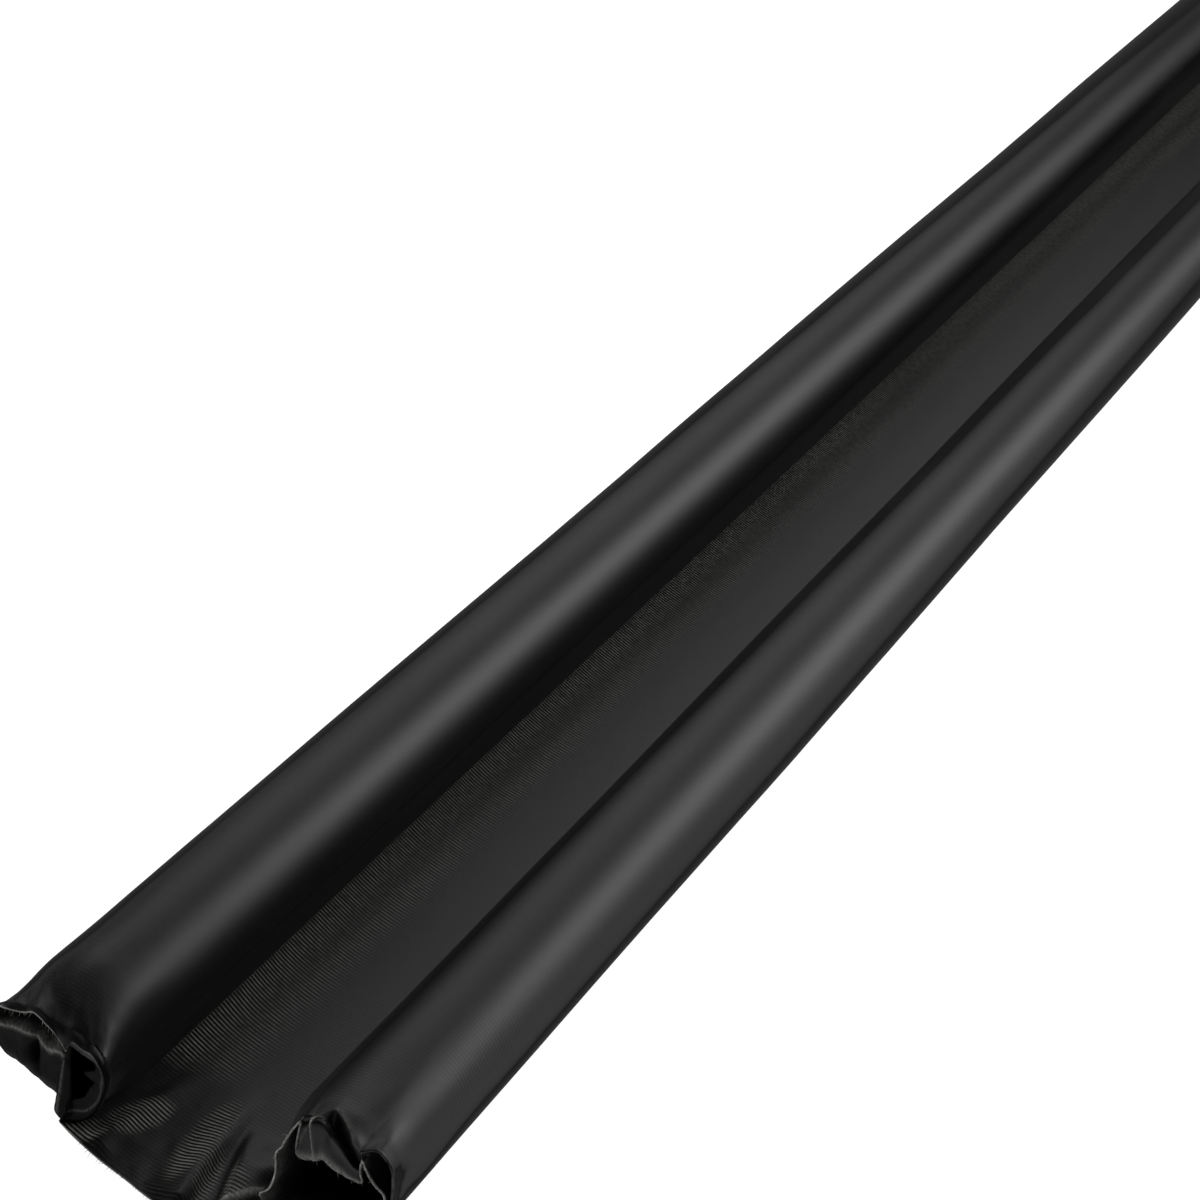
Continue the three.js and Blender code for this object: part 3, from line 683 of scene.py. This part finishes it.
class Mesh:
    """Vertices with their cloth coordinates, and faces, gathered for one mesh."""

    def __init__(self):
        self.places, self.cloth, self.raw, self.rib, self.dull, self.faces = [], [], [], [], [], []
        self.count = 0

    def add(self, places, cloth, raw, rib, dull=0.0):
        places = np.asarray(places, float)
        n = places.shape[0]
        self.places.append(places)
        self.cloth.append(np.broadcast_to(cloth, (n, 3)))
        self.raw.append(np.broadcast_to(raw, (n,)))
        self.rib.append(np.broadcast_to(rib, (n,)))
        self.dull.append(np.broadcast_to(dull, (n,)))
        made = np.arange(self.count, self.count + n)
        self.count += n
        return made

    def band(self, row_a, row_b, closed=False):
        a, b = np.asarray(row_a), np.asarray(row_b)
        if closed:
            a, b = np.append(a, a[0]), np.append(b, b[0])
        self.faces += np.stack([a[:-1], a[1:], b[1:], b[:-1]], axis=1).tolist()

    def volume(self):
        places = np.vstack(self.places)
        triangles = np.array([(f[0], f[k], f[k + 1]) for f in self.faces for k in range(1, len(f) - 1)])
        a, b, c = (places[triangles[:, k]] for k in range(3))
        return np.einsum("ij,ij->", a, np.cross(b, c)) / 6

    def build(self, name):
        places = np.vstack(self.places)
        faces = self.faces if self.volume() > 0 else [face[::-1] for face in self.faces]
        mesh = bpy.data.meshes.new(name)
        mesh.from_pydata((places * MM).tolist(), [], faces)
        mesh.polygons.foreach_set("use_smooth", [True] * len(mesh.polygons))
        cloth = mesh.attributes.new("cloth", "FLOAT_VECTOR", "POINT")
        cloth.data.foreach_set("vector", np.vstack(self.cloth).ravel())
        for key, values in (("raw_edge", self.raw), ("rib", self.rib), ("dull", self.dull)):
            layer = mesh.attributes.new(key, "FLOAT", "POINT")
            layer.data.foreach_set("value", np.concatenate(values))
        mesh.validate()
        piece = bpy.data.objects.new(name, mesh)
        bpy.context.scene.collection.objects.link(piece)
        return piece


def cloth_lengths(grid):
    """Distance along the cloth from the filling's crumpled end, for each place of a grid."""
    steps = np.linalg.norm(np.diff(grid, axis=0), axis=2)
    gone = np.concatenate([np.zeros((1, grid.shape[1])), np.cumsum(steps, axis=0)])
    start = next(j for j, s in enumerate(STATIONS) if s["share"] == 0)
    return gone - gone[start]


def tube_rib(side):
    """How strongly the ribs show on a tube, in bump and in their painted highlight and shade, by station
    and turn.
    """
    girth = side["turns"] * GIRTH
    rows = []
    for station in STATIONS:
        x = station.get("x", CRUMPLED_END if station["end"] == "crumpled" else PLAIN_END)
        patch = patches(TUBE_PATCHES, girth, np.full_like(girth, x), side["seed"] + 5)
        calm = 1 - CUFF_RIB_LOSS * smoothstep(*CUFF_RIB_SHARES, station["share"])
        rows.append((TUBE_RIB + TUBE_RIB_PATCHY * patch**3) * calm)
    return np.array(rows)


def pale_lines(name):
    """How pale the outer face is along the rims' pale lines, by station and turn."""
    side = SIDES[name]
    share = np.array([s["share"] if s["end"] == "crumpled" else 0 for s in STATIONS])
    spots = np.stack(np.broadcast_arrays(side["rows"], ROWS_PER_SHARE * share[:, None]), axis=2)
    pale = np.zeros(spots.shape[:2])
    for start, finish, width, strength in PALE_LINES[name]:
        a = np.array([start[0], ROWS_PER_SHARE * start[1]])
        way = np.array([finish[0], ROWS_PER_SHARE * finish[1]]) - a
        along = np.clip((spots - a) @ way / (way @ way), 0, 1)
        away = np.linalg.norm(spots - a - along[..., None] * way, axis=2)
        pale = np.maximum(pale, strength * np.exp(-((away / width) ** 2)))
    # The plain raw edge is pale all round
    pale[-1] = 1.0
    return pale


def dull_faces(name):
    """How much less each step round a rim shines where its cloth is turned in."""
    rows = SIDES[name]["rows"]
    dull = np.zeros(len(rows))
    for first, last, strength in DULL_FACES[name]:
        inside = smoothstep(first - DULL_FADE_ROWS, first, rows)
        inside = inside * (1 - smoothstep(last, last + DULL_FADE_ROWS, rows))
        dull = np.maximum(dull, strength * inside)
    return dull


def web_rib(grid):
    """How strongly the ribs show on the web, in bump and in their painted highlight and shade: most
    beside the left seam and in patches.
    """
    x, y = grid[..., 0], grid[..., 1]
    past = CRUMPLED_END - x
    blotch = patches(WEB_PATCHES, x, y, WEB_SEED)
    bands = np.zeros_like(y)
    for across, width, strength, patchy in RIB_BANDS:
        band = strength * np.exp(-(((y - across) / width) ** 2))
        bands = bands + band * (1 - patchy + patchy * blotch)
    rib = WEB_RIB + WEB_RIB_PATCHY * blotch + bands * (1 - smoothstep(*RIB_BANDS_END, past))
    for reach, across, half_length, half_width, lean, strength in RIB_PATCHES:
        u = (past - reach) / half_length
        v = (y - across - lean * (past - reach)) / half_width
        away = np.sqrt(u**2 + v**2) + PATCH_RAGGED * blotch - PATCH_RAGGED / 2
        rib = np.maximum(rib, strength * (1 - smoothstep(*PATCH_FADE, away)))
    return np.clip(rib, 0, 1)


def web_flap_glint_and_fray(grid):
    """Pale lines on the web: a painted highlight along the crest by the flap's left side, and the
    flap's pale frayed front.
    """
    past, y = CRUMPLED_END - grid[..., 0], grid[..., 1]
    left, front = beyond(FLAP_LEFT, past, y), -beyond(FLAP_FRONT[::-1], past, y)
    flap_glint_and_fray = np.zeros_like(y)
    for away, other, line in ((left, front, FLAP_CREST_GLINT), (front, left, FLAP_FRAYED_FRONT)):
        middle, begin, strength = line
        shine = np.exp(-(((away - middle) / FLAP_LINE_WIDTH) ** 2)) * smoothstep(0, 1, other)
        flap_glint_and_fray = np.maximum(flap_glint_and_fray, strength * (shine * smoothstep(*begin, past)))
    return flap_glint_and_fray


def rib_arc(x, y):
    """How far along the sleeve a place of a leaning, bowed rib lies past the rib's middle."""
    bow = 1 - BOW_LOSS * smoothstep(*BOW_STRETCH, x)
    return RIB_LEAN * y + RIB_BOW * np.maximum(y, 0) ** 2 * bow


def add_tube(mesh, name, half):
    """Adds a tube's outer skin, and the inner skin of its cuffs."""
    side = SIDES[name]
    sign, turns = side["sign"], side["turns"]
    grid = tube_grid(name)
    normals = normals_of(grid, sign)
    lengths = cloth_lengths(grid)
    rib = tube_rib(side)
    pale = pale_lines(name)
    turned_in = dull_faces(name)
    pattern = sign * PATTERN_APART
    outer, inner = [], []
    for j, station in enumerate(STATIONS):
        dull = turned_in * smoothstep(*DULL_SHARES, station["share"])
        shift = normals[j].copy()
        shift[0], shift[-1] = (0, 0, 1), (0, 0, -1)
        places = grid[j] + shift * half[j]
        places[:, 2] = np.maximum(places[:, 2], 0)
        cloth = np.stack([turns * GIRTH, lengths[j], np.full_like(turns, pattern)], axis=1)
        outer.append(mesh.add(places, cloth, pale[j], rib[j], dull))
        if station["end"]:
            shift = -normals[j]
            # Inside the seam's corner the inner skin lies a whole thickness away
            corner = np.array([0, sign * SEAM_GAP, WALL_RADIUS])
            shift[0] = corner / np.linalg.norm(corner) * 2
            places = (grid[j] + shift * half[j])[:-1]
            # Painted light inside the cuff where it gapes, and the rim's pale lines
            inside = LIT_INSIDE_MOST * smoothstep(*LIT_INSIDE[name], np.abs(places[:, 1]))
            inside = np.maximum(inside * min(station["share"], 1), pale[j][:-1])
            inner.append(mesh.add(places, cloth[:-1], inside, TUBE_RIB, dull[:-1]))
        else:
            inner.append(None)
    return {"grid": grid, "outer": outer, "inner": inner, "sign": sign}


def add_cuff(mesh, tube, end_name):
    """Adds the faces inside a cuff, of its raw edge and of the filling's end."""
    rows = [j for j, s in enumerate(STATIONS) if s["end"] == end_name]
    if STATIONS[rows[0]]["share"] > 0:
        rows = rows[::-1]
    turn = tube["sign"] * ENDS[end_name]["way"]

    def band(row_a, row_b, closed):
        if turn < 0:
            row_a, row_b = row_a[::-1], row_b[::-1]
        mesh.band(row_a, row_b, closed)

    for a, b in zip(rows, rows[1:]):
        band(tube["inner"][a], tube["inner"][b], True)
    edge = rows[-1]
    inner = tube["inner"][edge]
    band(np.append(inner, inner[0]), tube["outer"][edge], False)
    seam = [int(tube["outer"][edge][-1]), int(tube["outer"][edge][0]), int(inner[0])]
    mesh.faces.append(seam[::-1] if turn > 0 else seam)
    hub_x = ENDS[end_name]["x"] + ENDS[end_name]["way"] * HUB_REACH
    middle = (hub_x, tube["sign"] * TUBE_ACROSS, TUBE_RADIUS)
    hub = int(mesh.add([middle], (0, 0, 0), 0.0, 0.0)[0])
    base = [int(k) for k in tube["inner"][rows[0]]]
    for a, b in zip(base, base[1:] + base[:1]):
        mesh.faces.append([hub, b, a] if turn > 0 else [hub, a, b])


def frayed_places(left, right, web):
    """Places of the crumpled end's raw edges that fray, each with a place a little behind it."""
    made = list(zip(web[0], web[2]))
    for name, grid in (("left", left), ("right", right)):
        first, last = FRAYED_ROWS[name]
        for row, root, behind in zip(SIDES[name]["rows"], grid[0], grid[2]):
            if first < row < last:
                made.append((root, behind))
    return made


def add_frayed_threads(mesh, places):
    """Short tapered threads that stand out of the raw edges."""
    pick = np.random.default_rng(FRAYED_SEED)
    turned = -1 if mesh.volume() < 0 else 1
    for root, behind in places:
        if pick.random() < FRAYED_SHARE:
            outward = (root - behind) / np.linalg.norm(root - behind)
            way = outward + pick.normal(0, FRAYED_LEAN, 3)
            way /= np.linalg.norm(way)
            tip = root + way * pick.uniform(*FRAYED_LENGTH)
            side = np.cross(way, pick.normal(0, 1, 3))
            side *= FRAYED_ROOT / 2 / np.linalg.norm(side)
            other = np.cross(way, side)
            corners = [root + math.cos(a) * side + math.sin(a) * other for a in THREAD_CORNERS]
            thread = np.array([*corners, tip])
            thread[:, 2] = np.maximum(thread[:, 2], 0)
            a, b, c, d = (int(k) for k in mesh.add(thread, (0, 0, 0), PALE_THREAD, 0.0))
            mesh.faces += [face[::turned] for face in ([a, b, d], [b, c, d], [c, a, d], [c, b, a])]


def make_sleeve():
    """The whole sleeve: tubes, web and cuffs as one closed skin, with the frayed threads on it."""
    mesh = Mesh()
    half = half_thickness()
    left, right = (add_tube(mesh, side, half) for side in ("left", "right"))
    web = web_grid(left["grid"], right["grid"])
    lengths = cloth_lengths(web)
    rib, flap_glint_and_fray = web_rib(web), web_flap_glint_and_fray(web)
    raw_rows = (0, len(STATIONS) - 1)
    rings = []
    for j in range(len(STATIONS)):
        x, y = web[j, :, 0], web[j, :, 1]
        cloth = np.stack([y, lengths[j] - rib_arc(x, y), np.zeros(len(y))], axis=1)
        raw = np.maximum(PALE_WEB_EDGE if j in raw_rows else 0.0, flap_glint_and_fray[j])
        rows = []
        for lift in (half[j], -half[j]):
            places = web[j] + (0, 0, lift)
            places[:, 2] = np.maximum(places[:, 2], 0)
            rows.append(mesh.add(places, cloth, raw, rib[j]))
        top, under = rows
        rings.append(np.concatenate([left["outer"][j], under, right["outer"][j][::-1], top[::-1]]))
        if j in raw_rows:
            over = np.concatenate([left["outer"][j][:1], top, right["outer"][j][:1]])
            below = np.concatenate([left["outer"][j][-1:], under, right["outer"][j][-1:]])
            if j == 0:
                mesh.band(below, over)
            else:
                mesh.band(over, below)
    for before, after in zip(rings, rings[1:]):
        mesh.band(after, before, True)
    for tube in (left, right):
        for end_name in ENDS:
            add_cuff(mesh, tube, end_name)
    add_frayed_threads(mesh, frayed_places(left["grid"], right["grid"], web))
    return mesh.build("sleeve_cloth")


# The cloth's gloss seen straight on and at a flat angle, where between the two it changes, and its
# roughness and sheen
GLOSS = 0.3
FLAT_GLOSS = 0.003
GLOSS_CHANGE = (0.3, 0.68)
ROUGHNESS = 0.5
SHEEN = 0.03
SHEEN_ROUGHNESS = 0.35
# Colours of valleys and crests where the ribs hardly show; where they stand out most, the painted
# shade of the valleys and the painted highlight of the crests; and the pale colour of the raw edges,
# which also paints light inside the cuffs and a highlight on the flap's crest
FAINT_VALLEY = (0.0010, 0.0010, 0.0010)
FAINT_CREST = (0.0014, 0.0014, 0.0013)
PAINTED_VALLEY_SHADE = (0.0004, 0.0004, 0.0004)
PAINTED_CREST_HIGHLIGHT = (0.115, 0.116, 0.108)
RAW_AND_LIT_COLOUR = (0.26, 0.255, 0.245)
# How narrow the painted crest highlights are, how fast the ribs' painted highlight and shade grow,
# and how fast the pale colour of raw edges and painted light does
CREST_POWER = 2.0
RIB_LIGHT_POWER = 0.8
RAW_AND_LIT_POWER = 2.0
# Noises of the cloth: scale and detail. They make the ribs wander this far, break them and fray the
# pale colour of raw edges and painted light. Each change of range says from and to, and the last one
# shades the valleys.
WANDER_NOISE = (0.04, 1.0)
WANDER = 1.6
BREAK_NOISE = (0.45, 3.0)
BREAK_CHANGE = ((0.35, 0.6), (0.4, 1.0))
FUZZ_NOISE = (1.3, 2.0)
FUZZ_CHANGE = ((0.3, 0.7), (0.25, 0.85))
SHADE_CHANGE = ((-1.0, 0.4), (0.95, 0.0))
# Height of the weave's threads, as a share of RIB_HEIGHT
WEAVE_HEIGHT = 0.05


def new_material(name):
    material = bpy.data.materials.new(name)
    material.use_nodes = True
    tree = material.node_tree
    return material, tree, tree.nodes["Principled BSDF"]


def math_node(tree, operation, a, b=None):
    node = tree.nodes.new("ShaderNodeMath")
    node.operation = operation
    for socket, value in zip(node.inputs, (a, b)):
        if value is None:
            continue
        if isinstance(value, (int, float)):
            socket.default_value = value
        else:
            tree.links.new(value, socket)
    return node.outputs[0]


def map_range(tree, value, source, target):
    node = tree.nodes.new("ShaderNodeMapRange")
    for name, number in zip(node.inputs.keys()[1:5], (*source, *target)):
        node.inputs[name].default_value = number
    tree.links.new(value, node.inputs["Value"])
    return node.outputs["Result"]


def colour_mix(tree, factor, a, b):
    """Mixes two colours, each given as a tuple or as another node's output."""
    node = tree.nodes.new("ShaderNodeMix")
    node.data_type = "RGBA"
    tree.links.new(factor, node.inputs["Factor"])
    for name, colour in (("A", a), ("B", b)):
        if isinstance(colour, tuple):
            node.inputs[name].default_value = (*colour, 1)
        else:
            tree.links.new(colour, node.inputs[name])
    return node.outputs["Result"]


def ribbed_cloth():
    """Black cloth with ribs across the sleeve. The ribs wander a little and stand out in patches; where
    they stand out most, their crests are painted with a pale highlight and their valleys with shade. The
    raw edges are pale, and their colour also paints light inside the cuffs and on the flap's crest."""
    material, tree, shader = new_material("ribbed_black_cloth")
    link = tree.links.new

    def attribute(name, output):
        node = tree.nodes.new("ShaderNodeAttribute")
        node.attribute_name = name
        return node.outputs[output]

    def noise_texture(scale, detail):
        node = tree.nodes.new("ShaderNodeTexNoise")
        node.inputs["Scale"].default_value = scale
        node.inputs["Detail"].default_value = detail
        link(attribute("cloth", "Vector"), node.inputs["Vector"])
        return node.outputs["Fac"]

    cloth = tree.nodes.new("ShaderNodeSeparateXYZ")
    link(attribute("cloth", "Vector"), cloth.inputs[0])
    round_mm, along_mm = cloth.outputs[0], cloth.outputs[1]
    rib = attribute("rib", "Fac")
    raw = attribute("raw_edge", "Fac")

    wander = math_node(tree, "MULTIPLY", noise_texture(*WANDER_NOISE), WANDER)
    shifted = math_node(tree, "ADD", along_mm, wander)
    wave = math_node(tree, "SINE", math_node(tree, "MULTIPLY", shifted, 2 * math.pi / RIB_PITCH))
    broken = map_range(tree, noise_texture(*BREAK_NOISE), *BREAK_CHANGE)
    strength = math_node(tree, "MULTIPLY", rib, broken)
    ribs = math_node(tree, "MULTIPLY", wave, strength)

    thread_wave = math_node(tree, "MULTIPLY", round_mm, 2 * math.pi / THREAD_PITCH)
    weave = math_node(tree, "MULTIPLY", math_node(tree, "SINE", thread_wave), WEAVE_HEIGHT)
    height = math_node(tree, "ADD", ribs, weave)
    bump = tree.nodes.new("ShaderNodeBump")
    bump.inputs["Strength"].default_value = 1.0
    bump.inputs["Distance"].default_value = RIB_HEIGHT * MM
    link(height, bump.inputs["Height"])
    link(bump.outputs["Normal"], shader.inputs["Normal"])

    # Painted highlight on the rib crests and painted shade in their valleys, strongest where the ribs
    # stand out
    crest = math_node(tree, "POWER", map_range(tree, wave, (-1.0, 1.0), (0.0, 1.0)), CREST_POWER)
    rib_light_and_shade = math_node(tree, "POWER", strength, RIB_LIGHT_POWER)
    shaded_valley = colour_mix(tree, rib_light_and_shade, FAINT_VALLEY, PAINTED_VALLEY_SHADE)
    top = colour_mix(tree, rib_light_and_shade, FAINT_CREST, PAINTED_CREST_HIGHLIGHT)
    black_with_painted_ribs = colour_mix(tree, crest, shaded_valley, top)
    fuzz = map_range(tree, noise_texture(*FUZZ_NOISE), *FUZZ_CHANGE)
    raw_and_lit_share = math_node(tree, "MULTIPLY", math_node(tree, "POWER", raw, RAW_AND_LIT_POWER), fuzz)
    link(colour_mix(tree, raw_and_lit_share, black_with_painted_ribs, RAW_AND_LIT_COLOUR), shader.inputs["Base Color"])

    shader.inputs["Roughness"].default_value = ROUGHNESS
    # The gloss stays about as weak at a flat angle of view, because the ribs shade each other
    weight = tree.nodes.new("ShaderNodeLayerWeight")
    weight.inputs["Blend"].default_value = 0.5
    gloss = map_range(tree, weight.outputs["Facing"], GLOSS_CHANGE, (GLOSS, FLAT_GLOSS))
    bright = math_node(tree, "SUBTRACT", 1.0, attribute("dull", "Fac"))
    # The valleys between ribs that stand out lie in shade
    shade = math_node(tree, "MULTIPLY", rib_light_and_shade, map_range(tree, wave, *SHADE_CHANGE))
    bright = math_node(tree, "MULTIPLY", bright, math_node(tree, "SUBTRACT", 1.0, shade))
    link(math_node(tree, "MULTIPLY", gloss, bright), shader.inputs["Specular IOR Level"])
    shader.inputs["Sheen Weight"].default_value = SHEEN
    shader.inputs["Sheen Roughness"].default_value = SHEEN_ROUGHNESS
    return material


def glowing_material(name, colour, strength):
    """Evenly bright and without shadows, like the photograph's background."""
    material, _, shader = new_material(name)
    shader.inputs["Base Color"].default_value = (0.1, 0.1, 0.1, 1)
    shader.inputs["Roughness"].default_value = 1.0
    shader.inputs["Emission Color"].default_value = (*colour, 1)
    shader.inputs["Emission Strength"].default_value = strength
    return material


# Stage: the floor's size and how far it lies below the sleeve (m), and how bright floor and world are
FLOOR_SIZE = 80.0
FLOOR_BELOW = 0.0002
FLOOR_GLOW = 0.97
WORLD_LIGHT = 0.05


def make_stage():
    bpy.ops.mesh.primitive_plane_add(size=FLOOR_SIZE)
    floor = bpy.context.object
    floor.name = "floor"
    floor.location = (0, 0, -FLOOR_BELOW)
    floor.data.materials.append(glowing_material("white_floor", (1.0, 1.0, 1.0), FLOOR_GLOW))
    world = bpy.data.worlds.new("soft_white")
    bpy.context.scene.world = world
    world.use_nodes = True
    background = world.node_tree.nodes["Background"]
    background.inputs["Color"].default_value = (1, 1, 1, 1)
    background.inputs["Strength"].default_value = WORLD_LIGHT


# Soft boxes: name, place (m), aim (m), width and height (m), power (W), and whether the cloth mirrors it
SOFT_BOXES = (
    ("far_box", (1.55, -1.12, 0.92), (0.0, 0.0, 0.0), 1.1, 0.6, 35.0, True),
    ("wall_box", (2.6, 1.5, 1.75), (0.0, 0.0, 0.0), 2.6, 2.2, 42.0, True),
    ("left_box", (-0.5, 1.5, 0.9), (-0.2, 0.0, 0.0), 1.6, 0.9, 40.0, False),
    ("top_box", (0.1, 0.0, 2.2), (0.1, 0.0, 0.0), 2.4, 2.4, 40.0, False),
)


def make_lights():
    for name, place, aim, width, height, power, mirrored in SOFT_BOXES:
        data = bpy.data.lights.new(name, "AREA")
        data.shape = "RECTANGLE"
        data.size, data.size_y, data.energy = width, height, power
        lamp = bpy.data.objects.new(name, data)
        lamp.location = place
        lamp.rotation_euler = (Vector(aim) - Vector(place)).to_track_quat("-Z", "Y").to_euler()
        lamp.visible_glossy = mirrored
        bpy.context.scene.collection.objects.link(lamp)


# The photograph's camera: place (m), turns (degrees), lens and sensor (mm), and nearest distance (m)
CAMERA_PLACE = (-0.857452, -0.2633, 0.451443)
CAMERA_HEADING = 24.26
CAMERA_DOWN = 31.72
CAMERA_ROLL = 6.98
CAMERA_LENS = 85.31
CAMERA_SENSOR = 36.0
CAMERA_NEAREST = 0.02


def make_camera():
    heading, down = math.radians(CAMERA_HEADING), math.radians(CAMERA_DOWN)
    forward = Vector(
        (math.cos(down) * math.cos(heading), math.cos(down) * math.sin(heading), -math.sin(down))
    )
    level = forward.to_track_quat("-Z", "Y").to_matrix()
    roll = Matrix.Rotation(math.radians(CAMERA_ROLL), 3, "Z")
    data = bpy.data.cameras.new("camera")
    data.sensor_width = CAMERA_SENSOR
    data.lens = CAMERA_LENS
    data.clip_start = CAMERA_NEAREST
    camera = bpy.data.objects.new("camera", data)
    camera.matrix_world = Matrix.Translation(CAMERA_PLACE) @ (level @ roll).to_4x4()
    bpy.context.scene.collection.objects.link(camera)
    bpy.context.scene.camera = camera


make_camera()
make_stage()
make_lights()
bpy.context.scene.view_settings.view_transform = "Standard"

sleeve = make_sleeve()
sleeve.data.materials.append(ribbed_cloth())
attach(sleeve, "root")
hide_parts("sleeve")
